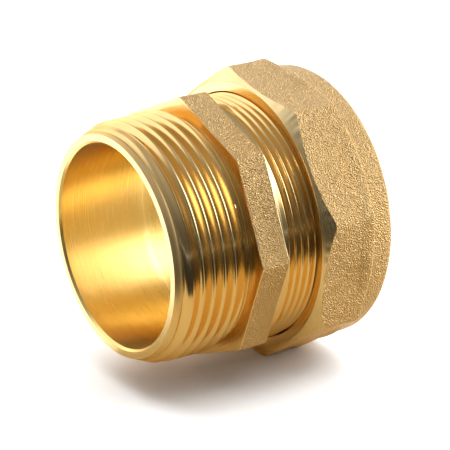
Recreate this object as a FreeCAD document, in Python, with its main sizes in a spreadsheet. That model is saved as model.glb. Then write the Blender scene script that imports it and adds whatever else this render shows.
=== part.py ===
"""Straight brass compression adaptor, R 1 1/2 taper male thread to 42 mm pipe.

Millimetres. +X runs along the waterway from the male end to the pipe end, +Z is up and the origin is the
centre of the male end face. The fitting has three pieces: the body, the olive and the compression nut.
"""
import FreeCAD, Part
import math
import os
import Sketcher

DIMENSIONS = {
    # waterway and pipe socket
    "bore_radius": 20.0,
    "socket_radius": 21.05,
    "stop_position": 19.5,
    "edge_break": 0.45,
    # male taper thread: 55 degree form, 11 threads to the inch, taper 1 in 16 on diameter
    "face_radius": 21.8,
    "lead_length": 3.96,
    "taper_radius": 23.5,
    "taper_slope": 0.03125,
    "taper_length": 14.0,
    "male_pitch": 2.309,
    "male_depth": 1.479,
    "male_flank": 27.5,
    "male_groove": 1.03,
    "male_turns": 7,
    "undercut_radius": 22.4,
    "undercut_position": 14.7,
    # spanner octagon of the body
    "octagon_front": 16.0,
    "octagon_width": 6.1,
    "octagon_flats": 49.5,
    "corner_round": 1.0,
    # compression end of the body: 60 degree form
    "spigot_radius": 24.7,
    "fine_pitch": 1.6,
    "fine_depth": 0.98,
    "fine_flank": 30.0,
    "fine_groove": 22.37,
    "fine_turns": 9,
    "fine_runout": 23.8,
    "cutter_rise": 0.15,
    "body_length": 35.3,
    "end_chamfer": 0.8,
    "seat_radius": 22.95,
    "seat_length": 3.3,
    # compression nut
    "nut_front": 29.5,
    "nut_ridge": 40.97,
    "nut_back": 46.0,
    "nut_flats": 55.0,
    "nut_turned": -11.25,
    "ring_radius": 26.9,
    "front_slope": 0.62,
    "back_slope": 0.43,
    "clear_radius": 31.0,
    "collar_radius": 27.7,
    "collar_round": 1.0,
    "bevel_radius": 25.0,
    "nut_minor_radius": 24.0,
    "thread_clearance": 0.12,
    "root_clearance": 0.25,
    "thread_lead_in": 0.9,
    "relief_radius": 25.2,
    "relief_start": 36.8,
    "cone_start": 40.6,
    "cone_radius": 23.4,
    "pipe_hole_radius": 21.2,
    # olive
    "olive_front": 35.1,
    "olive_length": 6.8,
    "olive_bore": 21.1,
    "olive_end_radius": 21.95,
    "olive_radius": 22.75,
    "olive_taper": 2.4,
}

SMALLEST_CUT = 100.0  # mm3

doc = FreeCAD.newDocument("compression_adaptor")
sheet = doc.addObject("Spreadsheet::Sheet", "dims")
for row, (alias, number) in enumerate(DIMENSIONS.items(), start=1):
    sheet.set(f"A{row}", alias)
    sheet.set(f"B{row}", str(number))
    sheet.setAlias(f"B{row}", alias)
doc.recompute()


def value(expression):
    """The number that an expression over the sheet stands for."""
    return float(sheet.evalExpression(expression))


def bind(thing, **expressions):
    """Bind a feature's properties to expressions over the sheet."""
    for name, expression in expressions.items():
        thing.setExpression(name.replace("__", "."), expression)


def outline(sketch, corners):
    """A closed polygon through corners, each a pair of expressions measured from the sketch's origin."""
    points = [FreeCAD.Vector(value(along), value(out), 0) for along, out in corners]
    for first, second in zip(points, points[1:] + points[:1]):
        sketch.addGeometry(Part.LineSegment(first, second), False)
    for index, corner in enumerate(corners):
        before = (index - 1) % len(corners)
        sketch.addConstraint(Sketcher.Constraint("Coincident", before, 2, index, 1))
        for kind, expression in zip(("DistanceX", "DistanceY"), corner):
            place = sketch.addConstraint(Sketcher.Constraint(kind, -1, 1, index, 1, value(expression)))
            sketch.setExpression(f"Constraints[{place}]", expression)


def plane(body, role):
    """One of a body's own origin planes."""
    return next(feature for feature in body.Origin.OriginFeatures if feature.Role == role)


def turned(body, kind, name, corners):
    """A Revolution or Groove about the X axis of an outline given as (along, radius) pairs."""
    sketch = body.newObject("Sketcher::SketchObject", name + "_sketch")
    sketch.AttachmentSupport = [(plane(body, "XZ_Plane"), "")]
    sketch.MapMode = "FlatFace"
    outline(sketch, corners)
    feature = body.newObject("PartDesign::" + kind, name)
    feature.Profile = sketch
    feature.ReferenceAxis = (sketch, ["H_Axis"])
    feature.Angle = 360
    before = volume_of(body)
    doc.recompute()
    grew = volume_of(body) - before
    if (grew > 0) != (kind == "Revolution"):
        raise RuntimeError(f"{name} changes the volume the wrong way: {grew:.1f}")
    return feature


def volume_of(body):
    """A body's volume, or nothing before its first feature."""
    return 0.0 if body.Shape.isNull() else body.Shape.Volume


def octagon(body, name, front, width, flats, turn):
    """An octagonal prism across the axis with its eight long edges rounded."""
    prism = body.newObject("PartDesign::AdditivePrism", name)
    prism.AttachmentSupport = [(plane(body, "YZ_Plane"), "")]
    prism.MapMode = "FlatFace"
    prism.Polygon = 8
    bind(prism, Circumradius=f"{flats} / 2 / cos(22.5 deg)", Height=width)
    bind(prism, AttachmentOffset__Base__z=front, AttachmentOffset__Rotation__Angle=turn)
    doc.recompute()
    long_edges = [f"Edge{number}" for number, edge in enumerate(prism.Shape.Edges, start=1)
                  if abs(edge.tangentAt(edge.FirstParameter).x) > 0.99]
    rounding = body.newObject("PartDesign::Fillet", name + "_corners")
    rounding.Base = (prism, long_edges)
    bind(rounding, Radius="dims.corner_round")
    doc.recompute()
    return rounding


def rim(shape, x, radius):
    """The name of the circular edge about the X axis at x with this radius."""
    for number, edge in enumerate(shape.Edges, start=1):
        box = edge.BoundBox
        if abs(box.XMin - x) < 0.01 and abs(box.XMax - x) < 0.01 and abs(box.ZMax - radius) < 0.01:
            return f"Edge{number}"
    raise RuntimeError(f"no edge at x {x} with radius {radius}")


def thread(base, name, pitch, turns, start, groove, taper="0"):
    """Cut a helical groove into base, running from start towards -X and starting straight above the axis.

    groove is the profile: (radius, along) pairs with along counted towards -X from the first flank, and
    start is where along is zero.
    """
    spine = doc.addObject("Part::Helix", name + "_helix")
    spine.SegmentLength = 1
    profile = doc.addObject("Sketcher::SketchObject", name + "_profile")
    bind(spine, Pitch=pitch, Height=f"({pitch}) * ({turns})", Radius=groove[0][0], Angle=taper)
    outline(profile, groove)
    towards_male_end = FreeCAD.Rotation(FreeCAD.Vector(0, 1, 0), -90)
    across = FreeCAD.Rotation(FreeCAD.Vector(1, 0, 0), 90)
    for item, rotation in ((spine, towards_male_end), (profile, towards_male_end.multiply(across))):
        item.Placement = FreeCAD.Placement(FreeCAD.Vector(value(start), 0, 0), rotation)
        bind(item, Placement__Base__x=start)
    doc.recompute()
    cutter = doc.addObject("Part::Sweep", name + "_cutter")
    cutter.Sections = [profile]
    cutter.Spine = (spine, [f"Edge{number + 1}" for number in range(len(spine.Shape.Edges))])
    cutter.Solid = True
    cutter.Frenet = True
    cut = doc.addObject("Part::Cut", name)
    cut.Base = base
    cut.Tool = cutter
    doc.recompute()
    if cut.Shape.Volume > base.Shape.Volume - SMALLEST_CUT:
        raise RuntimeError(f"{name} cuts nothing")
    return cut


def fitting_body():
    """Forged body: taper thread, spanner octagon, neck and compression spigot round one stepped bore."""
    blank = doc.addObject("PartDesign::Body", "body_blank")
    octagon(blank, "body_octagon", "dims.octagon_front", "dims.octagon_width", "dims.octagon_flats", "0")
    taper_end = "dims.taper_radius + dims.taper_length * dims.taper_slope"
    middle = "dims.octagon_front + dims.octagon_width / 2"
    turned(blank, "Revolution", "body_outside", [
        ("0", "0"),
        ("0", "dims.face_radius"),
        ("dims.lead_length", "dims.taper_radius + dims.lead_length * dims.taper_slope"),
        ("dims.taper_length", taper_end),
        ("dims.undercut_position", "dims.undercut_radius"),
        (middle, "dims.undercut_radius"),
        (middle, "dims.spigot_radius"),
        ("dims.body_length - dims.end_chamfer", "dims.spigot_radius"),
        ("dims.body_length", "dims.spigot_radius - dims.end_chamfer"),
        ("dims.body_length", "0"),
    ])
    turned(blank, "Groove", "body_bore", [
        ("0", "0"),
        ("0", "dims.bore_radius + dims.edge_break"),
        ("dims.edge_break", "dims.bore_radius"),
        ("dims.stop_position", "dims.bore_radius"),
        ("dims.stop_position", "dims.socket_radius"),
        ("dims.body_length - dims.seat_length", "dims.socket_radius"),
        ("dims.body_length", "dims.seat_radius"),
        ("dims.body_length", "0"),
    ])
    male_root = "dims.taper_radius + dims.male_groove * dims.taper_slope - dims.male_depth"
    male_start = "(dims.male_turns - 1) * dims.male_pitch"
    male_root_at_start = f"{male_root} + {male_start} * dims.taper_slope"
    male_height = "dims.male_depth + dims.cutter_rise"
    male_spread = f"({male_height}) * tan(dims.male_flank * 1 deg)"
    male = thread(
        blank, "male_thread", "dims.male_pitch", "dims.male_turns",
        f"dims.male_groove + {male_start} + dims.male_pitch / 12 + {male_spread}",
        [
            (male_root_at_start, male_spread),
            (f"{male_root_at_start} + {male_height}", "0"),
            (f"{male_root_at_start} + {male_height}", f"2 * ({male_spread}) + dims.male_pitch / 6"),
            (male_root_at_start, f"{male_spread} + dims.male_pitch / 6"),
        ],
        taper="-atan(dims.taper_slope)",
    )
    fine_root = "dims.spigot_radius - dims.fine_depth"
    fine_height = "dims.fine_depth + dims.cutter_rise"
    fine_spread = f"({fine_height}) * tan(dims.fine_flank * 1 deg)"
    fine_start = "dims.fine_groove + dims.fine_turns * dims.fine_pitch"
    return thread(
        male, "fitting_body", "dims.fine_pitch", f"({fine_start} - dims.fine_runout) / dims.fine_pitch",
        f"{fine_start} + dims.fine_pitch / 16 + {fine_spread}",
        [
            (fine_root, fine_spread),
            (f"{fine_root} + {fine_height}", "0"),
            (f"{fine_root} + {fine_height}", f"2 * ({fine_spread}) + dims.fine_pitch / 8"),
            (fine_root, f"{fine_spread} + dims.fine_pitch / 8"),
        ],
    )


def compression_nut():
    """Nut: turned front ring and bevel, octagon, plain collar, internal thread, olive cone and pipe hole."""
    blank = doc.addObject("PartDesign::Body", "nut_blank")
    octagon(blank, "nut_octagon", "dims.nut_front", "dims.nut_ridge - dims.nut_front", "dims.nut_flats",
            "dims.nut_turned")
    turned(blank, "Groove", "nut_front_bevel", [
        ("dims.nut_front", "dims.ring_radius"),
        ("dims.nut_front + dims.front_slope * (dims.clear_radius - dims.ring_radius)", "dims.clear_radius"),
        ("dims.nut_front", "dims.clear_radius"),
    ])
    turned(blank, "Groove", "nut_back_bevel", [
        ("dims.nut_ridge", "dims.collar_radius"),
        ("dims.nut_ridge", "dims.clear_radius"),
        ("dims.nut_ridge - dims.back_slope * (dims.clear_radius - dims.collar_radius)", "dims.clear_radius"),
    ])
    collar = turned(blank, "Revolution", "nut_collar", [
        ("dims.nut_ridge", "0"),
        ("dims.nut_ridge", "dims.collar_radius"),
        ("dims.nut_back", "dims.collar_radius"),
        ("dims.nut_back", "0"),
    ])
    rounding = blank.newObject("PartDesign::Fillet", "nut_collar_round")
    rounding.Base = (collar, [rim(collar.Shape, value("dims.nut_back"), value("dims.collar_radius"))])
    bind(rounding, Radius="dims.collar_round")
    doc.recompute()
    turned(blank, "Groove", "nut_bore", [
        ("dims.nut_front", "0"),
        ("dims.nut_front", "dims.bevel_radius"),
        ("dims.nut_front + dims.bevel_radius - dims.nut_minor_radius", "dims.nut_minor_radius"),
        ("dims.relief_start", "dims.nut_minor_radius"),
        ("dims.relief_start", "dims.relief_radius"),
        ("dims.cone_start", "dims.relief_radius"),
        ("dims.cone_start", "dims.cone_radius"),
        ("dims.cone_start + dims.cone_radius - dims.pipe_hole_radius", "dims.pipe_hole_radius"),
        ("dims.nut_back - dims.edge_break", "dims.pipe_hole_radius"),
        ("dims.nut_back", "dims.pipe_hole_radius + dims.edge_break"),
        ("dims.nut_back", "0"),
    ])
    # the groove is the body's ridge, widened by the clearance across its flanks
    spread = "tan(dims.fine_flank * 1 deg)"
    play = "dims.thread_clearance / cos(dims.fine_flank * 1 deg)"
    crest_half = f"dims.fine_pitch / 2 - dims.fine_pitch / 16 - dims.fine_depth * {spread}"
    inner = "dims.nut_minor_radius - dims.cutter_rise"
    outer = "dims.spigot_radius + dims.root_clearance"
    inner_half = f"({crest_half} + {play} + (dims.spigot_radius - ({inner})) * {spread})"
    outer_half = f"({crest_half} + {play} - dims.root_clearance * {spread})"
    start = "dims.fine_groove + (dims.fine_turns + 1 / 2) * dims.fine_pitch"
    return thread(
        blank, "compression_nut", "dims.fine_pitch",
        f"({start} - dims.nut_front + dims.thread_lead_in) / dims.fine_pitch",
        f"{start} + {inner_half}",
        [
            (inner, "0"),
            (outer, f"{inner_half} - {outer_half}"),
            (outer, f"{inner_half} + {outer_half}"),
            (inner, f"2 * {inner_half}"),
        ],
    )


def olive():
    """Brass compression ring with a taper at each end, between the body's mouth and the nut's cone."""
    ring = doc.addObject("PartDesign::Body", "olive")
    back = "dims.olive_front + dims.olive_length"
    turned(ring, "Revolution", "olive_ring", [
        ("dims.olive_front", "dims.olive_bore"),
        ("dims.olive_front", "dims.olive_end_radius"),
        ("dims.olive_front + dims.olive_taper", "dims.olive_radius"),
        (f"{back} - dims.olive_taper", "dims.olive_radius"),
        (back, "dims.olive_end_radius"),
        (back, "dims.olive_bore"),
    ])
    return ring


def export(pieces):
    """Write each piece to its own STEP file once the whole document is sound."""
    doc.recompute()
    for item in doc.Objects:
        if "Invalid" in item.State or "Error" in item.State:
            raise RuntimeError(f"{item.Label} failed: {item.State}")
    os.makedirs("parts", exist_ok=True)
    for piece in pieces:
        shape = piece.Shape
        if shape.isNull() or not shape.isValid() or len(shape.Solids) != 1:
            raise RuntimeError(f"{piece.Label} is not one sound solid")
        shape.exportStep(f"parts/{piece.Label}.step")
        box = shape.BoundBox
        print(f"{piece.Label}: {shape.Volume / 1000:.2f} cm3, x {box.XMin:.2f} to {box.XMax:.2f}")


export([fitting_body(), compression_nut(), olive()])
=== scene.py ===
"""Straight brass compression adaptor on a pale studio floor.

The three CAD nodes are replaced by denser pieces in the same place: cut threads with their run-outs, forged
flats with softened corners, turned faces and a blasted skin. Sizes here are in millimetres along and round
the waterway axis (+X), and each mesh is written in metres.
"""
import math

import bmesh
import bpy
import numpy as np
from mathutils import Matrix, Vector


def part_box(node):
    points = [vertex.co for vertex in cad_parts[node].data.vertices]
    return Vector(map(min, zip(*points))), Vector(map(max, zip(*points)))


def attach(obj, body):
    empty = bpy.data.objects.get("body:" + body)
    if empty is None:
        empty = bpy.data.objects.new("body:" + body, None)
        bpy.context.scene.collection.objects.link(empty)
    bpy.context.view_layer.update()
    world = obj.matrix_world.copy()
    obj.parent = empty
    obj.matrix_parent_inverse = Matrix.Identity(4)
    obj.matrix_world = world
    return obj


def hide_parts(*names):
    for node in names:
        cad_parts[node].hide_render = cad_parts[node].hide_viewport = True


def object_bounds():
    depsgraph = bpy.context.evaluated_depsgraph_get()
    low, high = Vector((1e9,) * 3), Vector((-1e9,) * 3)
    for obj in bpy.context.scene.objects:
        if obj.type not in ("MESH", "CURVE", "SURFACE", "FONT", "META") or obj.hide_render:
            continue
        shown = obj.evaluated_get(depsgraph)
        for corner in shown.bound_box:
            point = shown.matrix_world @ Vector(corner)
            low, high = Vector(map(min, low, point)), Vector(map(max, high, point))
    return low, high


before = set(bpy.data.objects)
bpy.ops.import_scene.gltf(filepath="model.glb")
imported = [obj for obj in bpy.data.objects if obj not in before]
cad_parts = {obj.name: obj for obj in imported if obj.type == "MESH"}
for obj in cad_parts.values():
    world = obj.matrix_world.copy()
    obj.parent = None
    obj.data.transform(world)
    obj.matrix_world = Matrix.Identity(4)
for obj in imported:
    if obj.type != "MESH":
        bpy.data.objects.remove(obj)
cad_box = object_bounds()

MM = 0.001
BODY_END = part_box("fitting_body")[1].x / MM
NUT_FRONT, NUT_BACK = (corner.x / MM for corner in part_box("compression_nut"))
OLIVE_FRONT, OLIVE_BACK = (corner.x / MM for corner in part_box("olive"))

# Pieces of one octagon: columns across each flat, and how much they crowd towards its corners.
COLUMNS_PER_FLAT = 36
CROWDING = 0.6

# How finely the surfaces are made: waves in an uneven skin, steps round an eased corner, the share of a
# thread's flank that is eased at root and crest, the distance under which points are one, the number of rows
# along the body's and the nut's flats, and the angle in degrees from which an edge is sharp.
WAVES = 14
EASING_STEPS = (0.25, 0.5, 0.75, 1.0)
THREAD_EASING = 0.12
WELD = 0.002
BODY_FLAT_ROWS = 14
NUT_FLAT_ROWS = 26
SHARP_ANGLE = 38

# ---------------------------------------------------------------- surfaces round the axis


def octagon_columns(corner_at):
    """Column angles over one closed turn, in radians from straight up, closer together near the corners."""
    steps = np.arange(COLUMNS_PER_FLAT) / COLUMNS_PER_FLAT * 2 - 1
    sector = 22.5 * ((1 - CROWDING) * steps + CROWDING * np.sin(steps * np.pi / 2))
    turn = np.concatenate([corner_at + 22.5 + 45 * side + sector for side in range(8)])
    return np.radians(np.append(turn, turn[0] + 360))


def octagon_radius(columns, inradius, corner_at, rounding):
    """Distance from the axis to an octagon with rounded corners, at each column."""
    half = math.pi / 8
    from_flat = np.abs((columns - math.radians(corner_at)) % (2 * half) - half)
    flat = inradius / np.cos(from_flat)
    centre = (inradius - rounding) / math.cos(half)
    off = half - from_flat
    arc = centre * np.cos(off) + np.sqrt(np.maximum(rounding**2 - (centre * np.sin(off)) ** 2, 0))
    tangent = math.atan((inradius - rounding) * math.tan(half) / inradius)
    return np.where(from_flat < tangent, flat, arc)


def unevenness(x, columns, radius, size, seed):
    """Smooth random waves of about this size, from -1 to 1, on a surface round the axis."""
    rng = np.random.default_rng(seed)
    x, columns = np.broadcast_arrays(x, columns)
    points = np.stack([x, -radius * np.sin(columns), radius * np.cos(columns)])
    total = np.zeros(x.shape)
    for _ in range(WAVES):
        direction = rng.normal(size=3)
        direction /= np.linalg.norm(direction)
        length = size * rng.uniform(0.7, 1.6)
        total += np.cos(np.tensordot(direction, points, 1) * 2 * np.pi / length + rng.uniform(0, 2 * np.pi))
    return total / math.sqrt(WAVES)


def flat_run(start, end, spacing):
    """Rows from start, which is left out, to end, about this far apart."""
    longest = float(np.hypot(*(end - start)).max())
    count = max(1, math.ceil(longest / spacing))
    return [start + (end - start) * step / count for step in range(1, count + 1)]


def row(columns, x, radius):
    """One row of points: an x and a radius at every column."""
    return np.stack(np.broadcast_arrays(np.asarray(x, float), np.asarray(radius, float), columns))[:2]


class Skin:
    """A closed surface built row by row round the axis. Each strip between two rows has a finish."""

    def __init__(self, columns):
        self.columns = columns
        self.rows = []
        self.finishes = []

    def add(self, rows, finish):
        self.rows += rows
        self.finishes += [finish] * len(rows)

    def path(self, corners, finish, spacing=2.0):
        """Straight runs through (x, radius, easing) corners, with a curve at each eased one but the last."""
        points = [row(self.columns, x, radius) for x, radius, _ in corners]
        if not self.rows:
            self.add([points[0]], finish)
        last = self.rows[-1]
        for index, (point, (_, _, easing)) in enumerate(zip(points, corners)):
            if easing and index < len(points) - 1:
                back, ahead = last - point, points[index + 1] - point
                back_length, ahead_length = (np.maximum(np.hypot(*way), 1e-9) for way in (back, ahead))
                reach = np.minimum(easing, 0.45 * np.minimum(back_length, ahead_length))
                enter, leave = point + back * reach / back_length, point + ahead * reach / ahead_length
                self.add(flat_run(last, enter, spacing), finish)
                curve = [(1 - t) ** 2 * enter + 2 * t * (1 - t) * point + t**2 * leave for t in EASING_STEPS]
                self.add(curve, finish)
                last = leave
            elif np.hypot(*(point - last)).max() > 1e-6:
                self.add(flat_run(last, point, spacing), finish)
                last = point

    def mesh(self, name, finishes):
        """The closed mesh, in metres, with sharp edges only where the surface truly turns."""
        stack = np.stack(self.rows)
        count, _, width = stack.shape
        x, radius = stack[:, 0], stack[:, 1]
        points = np.stack([x, -radius * np.sin(self.columns), radius * np.cos(self.columns)], axis=-1) * MM
        index = np.arange(count * width).reshape(count, width)
        following = np.roll(index, -1, axis=0)
        quads = np.stack([index[:, :-1], index[:, 1:], following[:, 1:], following[:, :-1]], axis=-1)
        mesh = bpy.data.meshes.new(name)
        mesh.from_pydata(points.reshape(-1, 3), [], quads.reshape(-1, 4))
        strip = [finishes.index(finish) for finish in self.finishes[1:] + self.finishes[:1]]
        mesh.polygons.foreach_set("material_index", np.repeat(strip, width - 1))
        shape = bmesh.new()
        shape.from_mesh(mesh)
        bmesh.ops.remove_doubles(shape, verts=shape.verts, dist=WELD * MM)
        bmesh.ops.recalc_face_normals(shape, faces=shape.faces)
        for face in shape.faces:
            face.smooth = True
        shape.to_mesh(mesh)
        shape.free()
        mesh.set_sharp_from_angle(angle=math.radians(SHARP_ANGLE))
        return mesh


def groove_depth(across, root_half, crest_half):
    """Share of a thread's full depth at a distance from the groove's centre, with eased root and crest."""
    t = np.clip((across - root_half) / (crest_half - root_half), -THREAD_EASING, 1 + THREAD_EASING)
    low = (t + THREAD_EASING) ** 2 / (4 * THREAD_EASING)
    high = 1 - (1 + THREAD_EASING - t) ** 2 / (4 * THREAD_EASING)
    return 1 - np.where(t < THREAD_EASING, low, np.where(t > 1 - THREAD_EASING, high, t))


def thread_rows(columns, start, end, pitch, groove_at, root_half, crest_half, surface):
    """Rows that follow a right-hand helix from start to end.

    groove_at is where a groove's centre lies straight above the axis, and surface(x, share, centre) gives the
    radius from the share of the groove's depth and the x of that groove's centre.
    """
    eased = [-THREAD_EASING, 0, THREAD_EASING, 0.5, 1 - THREAD_EASING, 1, 1 + THREAD_EASING]
    side = [root_half + t * (crest_half - root_half) for t in eased]
    offsets = [-out for out in reversed(side)] + [0] + side + [pitch / 2]
    turns = columns / (2 * np.pi)
    first = math.floor((start - groove_at) / pitch - turns[-1]) - 1
    last = math.ceil((end - groove_at) / pitch - turns[0]) + 1
    rows = []
    for number in range(first, last + 1):
        for offset in offsets:
            x = np.clip(groove_at + pitch * (number + turns) + offset, start, end)
            phase = (x - groove_at) / pitch - turns
            across = (phase - np.round(phase)) * pitch
            share = groove_depth(np.abs(across), root_half, crest_half)
            rows.append(row(columns, x, surface(x, share, x - across)))
    return [rows[0]] + [now for before, now in zip(rows, rows[1:]) if np.abs(now - before).max() > WELD]


def fade(x, start, end):
    """0 before start, 1 after end and smooth between them, in either direction."""
    t = np.clip((x - start) / (end - start), 0, 1)
    return t * t * (3 - 2 * t)


# ---------------------------------------------------------------- the three pieces
#
# Lengths are in millimetres: radii round the axis, and places along it counted from the male end.

# The waterway and the pipe's socket, whose stop is this far from the male end.
BORE = 20.0
SOCKET = 21.05
STOP = 19.5
EDGE_BREAK = 0.45

# The male end: its face, the brushed lead-in cone, the taper thread with its run-out and the undercut.
FACE_OUTER = 21.8
LEAD_SLOPE = 0.4596
BRUSHED_END = 1.5
TAPER = 1 / 32
CREST_AT_FACE = 23.5
MALE_PITCH = 2.309
MALE_DEPTH = 1.479
MALE_GROOVE = 1.03
MALE_FLANK = math.radians(27.5)
MALE_ROOT_HALF = MALE_PITCH / 12
MALE_CREST_HALF = MALE_ROOT_HALF + MALE_DEPTH * math.tan(MALE_FLANK)
TAPER_END = 14.0
MALE_RUN_OUT = (TAPER_END + 2.2, TAPER_END - 0.4)
UNDERCUT = 22.4
UNDERCUT_START = 14.7
MALE_ROWS_END = 15.3

# The body's octagon, with a narrow turned edge beside its flats.
OCTAGON_FRONT = 16.0
OCTAGON_BACK = 22.1
OCTAGON_INRADIUS = 24.75
OCTAGON_ROUNDING = 1.6
BODY_CORNER_AT = 0.0
TURNED_EDGE = 0.15

# The spigot: its neck, the fine thread and the conical seat in its end.
SPIGOT = 24.7
NECK_END = 22.6
FINE_PITCH = 1.6
FINE_DEPTH = 0.98
FINE_GROOVE = 22.37
FINE_FLANK = math.radians(30)
FINE_ROOT_HALF = FINE_PITCH / 16
FINE_CREST_HALF = FINE_ROOT_HALF + FINE_DEPTH * math.tan(FINE_FLANK)
FINE_START = 23.1
FINE_RUN_IN = (FINE_START - 0.5, FINE_START + 1.2)
SPIGOT_END = SPIGOT - FINE_DEPTH - 0.05
SEAT_RADIUS = 22.95
SEAT_LENGTH = 3.3

# The nut's outside: the front ring, the bevels of its flats, the lip behind them and the collar.
NUT_INRADIUS = 27.5
NUT_ROUNDING = 2.0
NUT_CORNER_AT = -11.25
NUT_RIDGE = 40.97
RING_OUTER = 26.9
RING_INNER = 25.0
FRONT_SLOPE = 0.62
BACK_SLOPE = 0.43
COLLAR = 27.7
LIP_HEIGHT = 0.33
LIP_WIDTH = 0.40
LIP_RISE = 2.5

# The nut's inside: its thread, the relief, the cone that presses the olive and the hole for the pipe.
NUT_MINOR = 24.0
NUT_ROOT = 24.95
THREAD_CLEARANCE = 0.12
RELIEF = 25.2
RELIEF_START = 36.8
RELIEF_RISE = 0.2
CONE_START = 40.6
CONE_RADIUS = 23.4
PIPE_HOLE = 21.2

# The olive: its hole, its ends, its middle and how far the slopes between them reach.
OLIVE_HOLE = 21.1
OLIVE_ENDS = 21.95
OLIVE_MIDDLE = 22.75
OLIVE_SLOPE = 2.4

# Unevenness of the forged skin and of the edges that meet it: size of its waves, depth, and a seed for each.
FORGING_WAVE = 6.0
FORGING_DEPTH = 0.035
RAGGED_WAVE = 1.3
RAGGED_DEPTH = 0.05
SEEDS = {"body": 11, "nut": 23, "collar": 31, "nut_edge": 41, "body_edge": 43}


def forged(columns, x, inradius, corner_at, rounding, seed):
    """Radius of a forged octagon's skin at x, slightly uneven and with softened corners."""
    skin = octagon_radius(columns, inradius, corner_at, rounding)
    return skin + FORGING_DEPTH * unevenness(x, columns, inradius, FORGING_WAVE, seed)


def male_surface(x, share, centre):
    """The taper thread, its lead-in cone, its run-out and the undercut behind it."""
    crest = CREST_AT_FACE + TAPER * x
    cut = crest - MALE_DEPTH * share * fade(centre, *MALE_RUN_OUT)
    outside = np.minimum(crest, FACE_OUTER + LEAD_SLOPE * x)
    ramp = crest + (UNDERCUT - crest) * np.clip((x - TAPER_END) / (UNDERCUT_START - TAPER_END), 0, 1)
    return np.minimum(np.minimum(cut, outside), np.maximum(ramp, UNDERCUT))


def spigot_surface(x, share, centre):
    """The fine thread, fading out towards the neck, with a chamfer at its end."""
    cut = SPIGOT - FINE_DEPTH * share * fade(centre, *FINE_RUN_IN)
    chamfer = SPIGOT - np.maximum(x - (BODY_END - (SPIGOT - SPIGOT_END)), 0)
    return np.minimum(cut, chamfer)


def body_skin():
    """The body from its male end, over the octagon and the spigot, and back through the waterway."""
    columns = octagon_columns(BODY_CORNER_AT)
    skin = Skin(columns)
    skin.path([(0.0, BORE + EDGE_BREAK, 0), (0.0, FACE_OUTER, 0)], "faced", 0.5)
    skin.add(thread_rows(columns, 0.0, MALE_ROWS_END, MALE_PITCH, MALE_GROOVE, MALE_ROOT_HALF,
                         MALE_CREST_HALF, male_surface), "cut")
    rough = dict(inradius=OCTAGON_INRADIUS, corner_at=BODY_CORNER_AT, rounding=OCTAGON_ROUNDING,
                 seed=SEEDS["body"])
    front = forged(columns, OCTAGON_FRONT, **rough)
    ragged = unevenness(OCTAGON_FRONT, columns, OCTAGON_INRADIUS, RAGGED_WAVE, SEEDS["body_edge"])
    edge = OCTAGON_FRONT + TURNED_EDGE + RAGGED_DEPTH * ragged
    skin.path([(OCTAGON_FRONT, UNDERCUT, 0.25), (OCTAGON_FRONT, front, 0.10), (edge, front, 0)], "faced", 0.5)
    for share in np.linspace(0, 1, BODY_FLAT_ROWS)[1:]:
        x = edge + (OCTAGON_BACK - TURNED_EDGE - edge) * share
        skin.add([row(columns, x, forged(columns, x, **rough))], "blasted")
    back = forged(columns, OCTAGON_BACK, **rough)
    skin.path([(OCTAGON_BACK, np.maximum(back, SPIGOT + 0.02), 0.10), (OCTAGON_BACK, SPIGOT, 0),
               (NECK_END, SPIGOT, 0)], "faced", 0.5)
    skin.add(thread_rows(columns, NECK_END, BODY_END, FINE_PITCH, FINE_GROOVE, FINE_ROOT_HALF,
                         FINE_CREST_HALF, spigot_surface), "cut")
    skin.path([
        (BODY_END, SEAT_RADIUS, 0.1),
        (BODY_END - SEAT_LENGTH, SOCKET, 0.1),
        (STOP, SOCKET, 0.12),
        (STOP, BORE, 0.12),
        (EDGE_BREAK, BORE, 0.08),
        (0.0, BORE + EDGE_BREAK, 0),
    ], "bored", 1.5)
    return skin


def nut_thread_surface(x, share, centre):
    """The nut's internal thread between its front bevel and the relief behind."""
    cut = NUT_MINOR + (NUT_ROOT - NUT_MINOR) * share
    bevel = RING_INNER - (x - NUT_FRONT)
    relief = NUT_MINOR + (RELIEF - NUT_MINOR) * np.clip((x - RELIEF_START) / RELIEF_RISE, 0, 1)
    return np.maximum(np.maximum(cut, bevel), relief)


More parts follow.
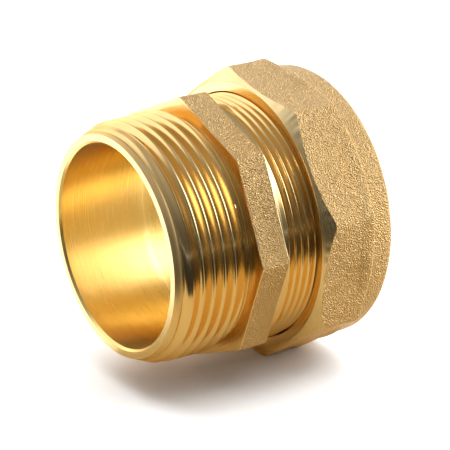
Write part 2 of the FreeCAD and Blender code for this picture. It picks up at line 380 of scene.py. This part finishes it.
def nut_skin():
    """The nut from its front ring, over the flats and the collar, and back through its inside."""
    columns = octagon_columns(NUT_CORNER_AT)
    skin = Skin(columns)
    rough = dict(inradius=NUT_INRADIUS, corner_at=NUT_CORNER_AT, rounding=NUT_ROUNDING, seed=SEEDS["nut"])
    plain = forged(columns, NUT_FRONT + 1, **rough)
    ragged = unevenness(NUT_FRONT, columns, NUT_INRADIUS, RAGGED_WAVE, SEEDS["nut_edge"])
    front = NUT_FRONT + FRONT_SLOPE * (plain - RING_OUTER) + RAGGED_DEPTH * ragged
    plain = forged(columns, NUT_RIDGE, **rough)
    back = NUT_RIDGE - np.maximum(BACK_SLOPE * (plain - COLLAR), 0.05) - LIP_WIDTH
    lip = np.maximum(plain + LIP_HEIGHT / 2, COLLAR + LIP_HEIGHT)
    skin.path([(NUT_FRONT, RING_INNER, 0), (NUT_FRONT, RING_OUTER, 0.12),
               (front, forged(columns, front, **rough), 0)], "faced", 0.6)
    for share in np.linspace(0, 1, NUT_FLAT_ROWS)[1:]:
        x = front + (back - front) * share
        rise = (lip - plain) * fade(x, back - LIP_RISE, back)
        skin.add([row(columns, x, forged(columns, x, **rough) + rise)], "blasted")
    swells = unevenness(NUT_RIDGE + 2, columns, COLLAR, FORGING_WAVE, SEEDS["collar"])
    collar = COLLAR + FORGING_DEPTH * swells
    skin.path([
        (back + LIP_WIDTH, lip, LIP_WIDTH / 2),
        (NUT_RIDGE + LIP_WIDTH, collar, 0.12),
        (NUT_BACK, collar, 1.0),
        (NUT_BACK, PIPE_HOLE + EDGE_BREAK, 0.1),
    ], "blasted", 0.6)
    skin.path([
        (NUT_BACK, PIPE_HOLE + EDGE_BREAK, 0.1),
        (NUT_BACK - EDGE_BREAK, PIPE_HOLE, 0.1),
        (CONE_START + CONE_RADIUS - PIPE_HOLE, PIPE_HOLE, 0.1),
        (CONE_START, CONE_RADIUS, 0.1),
        (CONE_START, RELIEF, 0.2),
        (RELIEF_START + RELIEF_RISE, RELIEF, 0),
    ], "bored", 1.0)
    play = THREAD_CLEARANCE / math.cos(FINE_FLANK)
    ridge_half = FINE_PITCH / 2 - FINE_CREST_HALF
    root_half = ridge_half + play - (NUT_ROOT - SPIGOT) * math.tan(FINE_FLANK)
    crest_half = root_half + (NUT_ROOT - NUT_MINOR) * math.tan(FINE_FLANK)
    inside = thread_rows(columns, NUT_FRONT, RELIEF_START + RELIEF_RISE, FINE_PITCH,
                         FINE_GROOVE + FINE_PITCH / 2, root_half, crest_half, nut_thread_surface)
    skin.add(list(reversed(inside)), "cut")
    return skin


def olive_skin():
    """The olive: a ring that tapers towards both ends."""
    skin = Skin(octagon_columns(0.0))
    skin.path([
        (OLIVE_FRONT, OLIVE_HOLE, 0),
        (OLIVE_FRONT, OLIVE_ENDS, 0.25),
        (OLIVE_FRONT + OLIVE_SLOPE, OLIVE_MIDDLE, 0.5),
        (OLIVE_BACK - OLIVE_SLOPE, OLIVE_MIDDLE, 0.5),
        (OLIVE_BACK, OLIVE_ENDS, 0.25),
        (OLIVE_BACK, OLIVE_HOLE, 0.15),
        (OLIVE_FRONT, OLIVE_HOLE, 0),
    ], "bored", 0.6)
    return skin


# ---------------------------------------------------------------- materials

# What a noise runs between over most of a surface.
NOISE_RANGE = (0.3, 0.7)

# Brass keeps some of its colour where it is seen at a glancing angle.
WARM_EDGE = (0.95, 0.76, 0.50, 1)


class Tree:
    """The nodes of a material or world. An input is given a number, a colour or another node's output."""

    def __init__(self, owner):
        owner.use_nodes = True
        self.owner = owner
        self.nodes = owner.node_tree.nodes
        self.links = owner.node_tree.links
        self.shader = self.nodes.get("Principled BSDF") or self.nodes["Background"]

    def add(self, kind, *inputs, output=0, **settings):
        node = self.nodes.new("ShaderNode" + kind)
        for name, setting in settings.items():
            setattr(node, name, setting)
        for socket, given in zip(node.inputs, inputs):
            self.connect(socket, given)
        return node.outputs[output]

    def connect(self, socket, given):
        if isinstance(given, bpy.types.NodeSocket):
            self.links.new(given, socket)
        elif given is not None:
            socket.default_value = given

    def math(self, operation, *inputs):
        return self.add("Math", *inputs, operation=operation)

    def set(self, **inputs):
        for name, given in inputs.items():
            self.connect(self.shader.inputs[name.replace("_", " ")], given)

    def ramp(self, noise, low, high):
        """A colour between low and high that follows a noise."""
        node = self.nodes.new("ShaderNodeValToRGB")
        self.connect(node.inputs[0], noise)
        for element, position, colour in zip(node.color_ramp.elements, NOISE_RANGE, (low, high)):
            element.position, element.color = position, (*colour, 1)
        return node.outputs[0]

    def spread(self, noise, low, high):
        """A number between low and high that follows a noise."""
        return self.add("MapRange", noise, *NOISE_RANGE, low, high)

    def noise(self, place, scale, detail=3.0, roughness=0.55):
        node = self.nodes.new("ShaderNodeTexNoise")
        self.connect(node.inputs["Vector"], place)
        node.inputs["Scale"].default_value = scale
        node.inputs["Detail"].default_value = detail
        node.inputs["Roughness"].default_value = roughness
        return node.outputs[0]

    def millimetres(self):
        """The place on the piece in millimetres."""
        place = self.add("TexCoord", output=3)
        return self.add("VectorMath", place, (1000.0, 1000.0, 1000.0), operation="MULTIPLY")

    def turned_place(self, across, around):
        """A place that changes quickly across the lathe's marks and slowly round them."""
        x, y, z = self.separate(self.millimetres())
        radius = self.math("SQRT", self.math("ADD", self.math("POWER", y, 2.0), self.math("POWER", z, 2.0)))
        angle = self.math("ARCTAN2", y, z)
        quick = [self.math("MULTIPLY", part, across) for part in (x, radius)]
        return self.add("CombineXYZ", *quick, self.math("MULTIPLY", angle, around))

    def separate(self, vector):
        node = self.nodes.new("ShaderNodeSeparateXYZ")
        self.connect(node.inputs[0], vector)
        return node.outputs

    def bump(self, height, distance, under=None):
        """A bump as deep as distance, in millimetres, laid over another one."""
        node = self.nodes.new("ShaderNodeBump")
        self.connect(node.inputs["Height"], height)
        self.connect(node.inputs["Normal"], under)
        node.inputs["Strength"].default_value = 1.0
        node.inputs["Distance"].default_value = distance * MM
        return node.outputs[0]


def turned_brass(name, low, high, roughness, across=0.0, mark_depth=0.003, lead_in=1.0):
    """Bright brass with fine lathe marks, more blurred across them, and a faint change of colour.

    The lead-in cone at the male end is lead_in times as rough as what follows.
    """
    tree = Tree(bpy.data.materials.new(name))
    marks = tree.noise(tree.turned_place(6.0, 0.6), 1.0, 4.0)
    tint = tree.noise(tree.millimetres(), 0.12, 2.0)
    from_end = tree.separate(tree.millimetres())[0]
    brushing = tree.add("MapRange", from_end, BRUSHED_END, BRUSHED_END + 0.3, lead_in, 1.0)
    gloss = tree.spread(marks, roughness * 0.8, roughness * 1.25)
    tree.set(
        Base_Color=tree.ramp(tint, low, high),
        Metallic=1.0,
        Specular_Tint=WARM_EDGE,
        Roughness=tree.math("MULTIPLY", gloss, brushing),
        Anisotropic=across,
        Anisotropic_Rotation=0.25,
        Normal=tree.bump(tree.math("MULTIPLY", marks, brushing), mark_depth),
        Tangent=tree.add("Tangent", direction_type="RADIAL", axis="X"),
    )
    return tree.owner


def blasted_brass():
    """Forged brass with the fine cratered skin that shot-blasting leaves."""
    tree = Tree(bpy.data.materials.new("blasted_brass"))
    place = tree.millimetres()
    grain = tree.noise(place, 3.8, 1.0, 0.5)
    swell = tree.noise(place, 1.1, 1.0)
    blotch = tree.noise(place, 0.25, 3.0)
    tree.set(
        Base_Color=tree.ramp(blotch, (0.74, 0.49, 0.21), (0.80, 0.535, 0.24)),
        Metallic=1.0,
        Roughness=tree.spread(grain, 0.40, 0.30),
        Normal=tree.bump(grain, 0.50, under=tree.bump(swell, 0.25)),
    )
    return tree.owner


FINISHES = ["cut", "faced", "bored", "blasted"]
MATERIALS = [
    turned_brass("cut_brass", (0.94, 0.64, 0.27), (0.95, 0.68, 0.31), 0.17, lead_in=2.2),
    turned_brass("faced_brass", (0.90, 0.66, 0.32), (0.92, 0.71, 0.37), 0.24),
    turned_brass("bored_brass", (0.95, 0.70, 0.26), (0.97, 0.74, 0.30), 0.30, across=0.8, mark_depth=0.012),
    blasted_brass(),
]


def piece(skin, name, node):
    """The finished piece that stands for a CAD node and rides on its body."""
    mesh = skin.mesh(name, FINISHES)
    for material in MATERIALS:
        mesh.materials.append(material)
    made = bpy.data.objects.new(name, mesh)
    bpy.context.scene.collection.objects.link(made)
    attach(made, node)
    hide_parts(node)


piece(body_skin(), "forged_body", "fitting_body")
piece(nut_skin(), "forged_nut", "compression_nut")
piece(olive_skin(), "olive_ring", "olive")

# ---------------------------------------------------------------- studio


def plane(name, corners, material):
    """A flat sheet through four corners, in metres, that belongs to the studio."""
    mesh = bpy.data.meshes.new(name)
    mesh.from_pydata(corners, [], [(0, 1, 2, 3)])
    mesh.materials.append(material)
    sheet = bpy.data.objects.new(name, mesh)
    bpy.context.scene.collection.objects.link(sheet)
    return sheet


MIDDLE = Vector((0.023, 0.0, 0.0))
FLOOR = cad_box[0].z
FLOOR_REACH = 3.0


def toward(azimuth, elevation):
    """The direction at this azimuth, counted from +X towards +Y, and elevation, in degrees."""
    turn, rise = math.radians(azimuth), math.radians(elevation)
    return Vector((math.cos(rise) * math.cos(turn), math.cos(rise) * math.sin(turn), math.sin(rise)))


def softbox(name, direction, distance, side, power):
    """A square soft light in this direction from the fitting, aimed at it."""
    light = bpy.data.lights.new(name, "AREA")
    light.shape = "SQUARE"
    light.size = side
    light.energy = power
    lamp = bpy.data.objects.new(name, light)
    lamp.location = MIDDLE + distance * direction
    lamp.rotation_euler = (-direction).to_track_quat("-Z", "Y").to_euler()
    bpy.context.scene.collection.objects.link(lamp)
    return lamp


# The dome of light round the fitting: dim on the camera's side, brighter behind, with large soft lamps in it.
# Each lamp is (azimuth, elevation, half angle of its bright middle, half angle of its edge, strength).
DIM, BRIGHT = 0.09, 0.37
BACK = (70, 50)
LAMPS = {
    "right": (-26, 27, 8, 28, 6.0),
    "far_right": (15, 10, 10, 28, 1.7),
    "left": (125, 32, 16, 38, 1.0),
    "low_back": (80, 0, 20, 42, 1.0),
    "overhead": (60, 90, 10, 30, 0.1),
}

# The cards lie just above the floor at this azimuth and only reflections see them: a gold one as far as
# CARD_EDGE, a painted reflection of a dimmer, gold-tinted floor, and a black one beyond it, a painted dark
# reflection.
CARD_AT = -114
CARD_EDGE = 0.064
CARD_LIFT = 0.5 * MM


def dome():
    """The world's light, smooth in every direction."""
    world = bpy.data.worlds.new("studio")
    bpy.context.scene.world = world
    tree = Tree(world)
    direction = tree.add("TexCoord")

    def blend(azimuth, elevation, near, far, low, high):
        aim = toward(azimuth, elevation)
        facing = tree.add("VectorMath", direction, aim, operation="DOT_PRODUCT", output=1)
        return tree.add("MapRange", facing, far, near, low, high, interpolation_type="SMOOTHSTEP")

    light = blend(*BACK, 0.5, -0.5, DIM, BRIGHT)
    for azimuth, elevation, middle, edge, strength in LAMPS.values():
        near, far = math.cos(math.radians(middle)), math.cos(math.radians(edge))
        light = tree.math("ADD", light, blend(azimuth, elevation, near, far, 0.0, strength))
    tree.set(Color=(1, 1, 1, 1), Strength=light)


def card(name, near, far, shade):
    """A card on the floor in front, from near to far out along CARD_AT. Only reflections see it, so it paints
    a reflection of shade or of dimmer floor that the camera never sees.
    """
    outward, along = toward(CARD_AT, 0), toward(CARD_AT + 90, 0)
    foot = Vector((MIDDLE.x, MIDDLE.y, FLOOR + CARD_LIFT))
    paint = Tree(bpy.data.materials.new(name))
    paint.set(Base_Color=(*shade, 1), Roughness=1.0)
    ends = ((-1, near), (1, near), (1, far), (-1, far))
    sheet = plane(name, [foot + along * side + outward * out for side, out in ends], paint.owner)
    sheet.visible_camera = sheet.visible_diffuse = sheet.visible_shadow = False


def studio():
    """The paper floor with a softbox of its own, the two cards in front that paint reflections of shade and
    of dimmer floor, and the dome.
    """
    paper = Tree(bpy.data.materials.new("pale_paper"))
    paper.set(Base_Color=(0.80, 0.80, 0.80, 1), Roughness=0.9)
    sides = ((-1, -1), (1, -1), (1, 1), (-1, 1))
    floor = plane("floor", [(FLOOR_REACH * x, FLOOR_REACH * y, FLOOR) for x, y in sides], paper.owner)
    # Painted reflection: the gold card shows reflections a dimmer, gold-tinted floor near the fitting.
    card("gold_painted_reflection_card", 0.0, CARD_EDGE, (0.87, 0.74, 0.46))
    # Painted reflection: the black card shows reflections dark shade where the floor the camera sees is
    # white.
    card("black_painted_reflection_card", CARD_EDGE, 1.0, (0.01, 0.01, 0.01))
    dome()
    lamp = softbox("floor_softbox", toward(25, 72), distance=0.9, side=1.6, power=32.0)
    lit = bpy.data.collections.new("lit_by_floor_softbox")
    lit.objects.link(floor)
    lamp.light_linking.receiver_collection = lit


def camera():
    """The photograph's viewpoint."""
    lens = bpy.data.cameras.new("camera")
    lens.sensor_width = 36.0
    lens.lens = 133.29
    lens.clip_start, lens.clip_end = 0.01, 20.0
    eye = bpy.data.objects.new("camera", lens)
    eye.location = (-0.14857, -0.25510, 0.11316)
    eye.rotation_euler = [math.radians(angle) for angle in (69.679, 0.833, -34.701)]
    bpy.context.scene.collection.objects.link(eye)
    bpy.context.scene.camera = eye


studio()
camera()
bpy.context.scene.view_settings.view_transform = "Standard"
